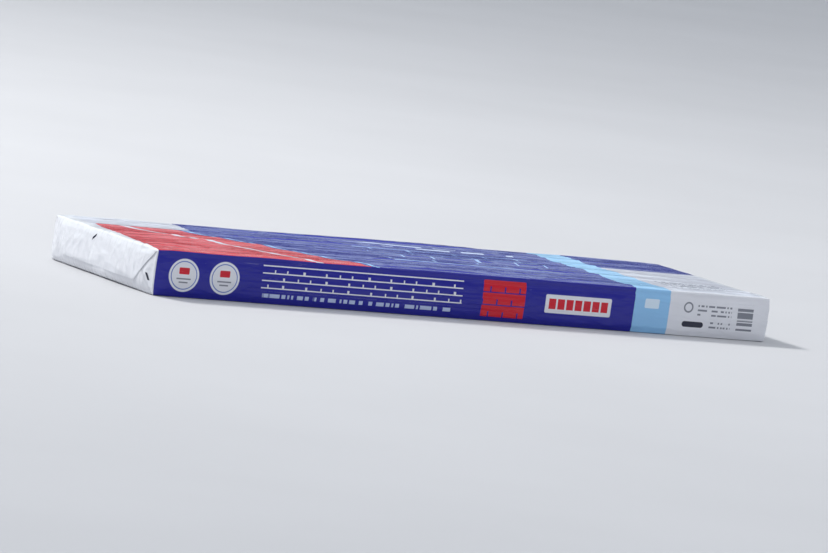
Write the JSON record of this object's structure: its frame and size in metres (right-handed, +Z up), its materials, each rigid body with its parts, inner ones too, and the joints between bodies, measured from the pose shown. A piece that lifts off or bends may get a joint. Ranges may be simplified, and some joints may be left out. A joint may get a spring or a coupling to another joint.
{
  "type": "asphalt shingle bundle",
  "caption": "Flat bundle of laminated asphalt roof shingles stacked face to face and wrapped in printed plastic film with folded ends.",
  "frame": {"origin": "middle of the underside of the wrapped bundle", "axes": "+X along the bundle's length, +Y across it towards the back long side, +Z up through its thickness"},
  "size_m": [1.006, 0.3404, 0.0645],
  "materials": {
    "film": "glossy printed polyethylene film, blue with a pale blue band and white ends, wrinkled",
    "shingle": "mineral granules on asphalt sheet, matte"
  },
  "bodies": {
    "root": {"film_wrap": "film", "shingles": "shingle"}
  },
  "joints": []
}
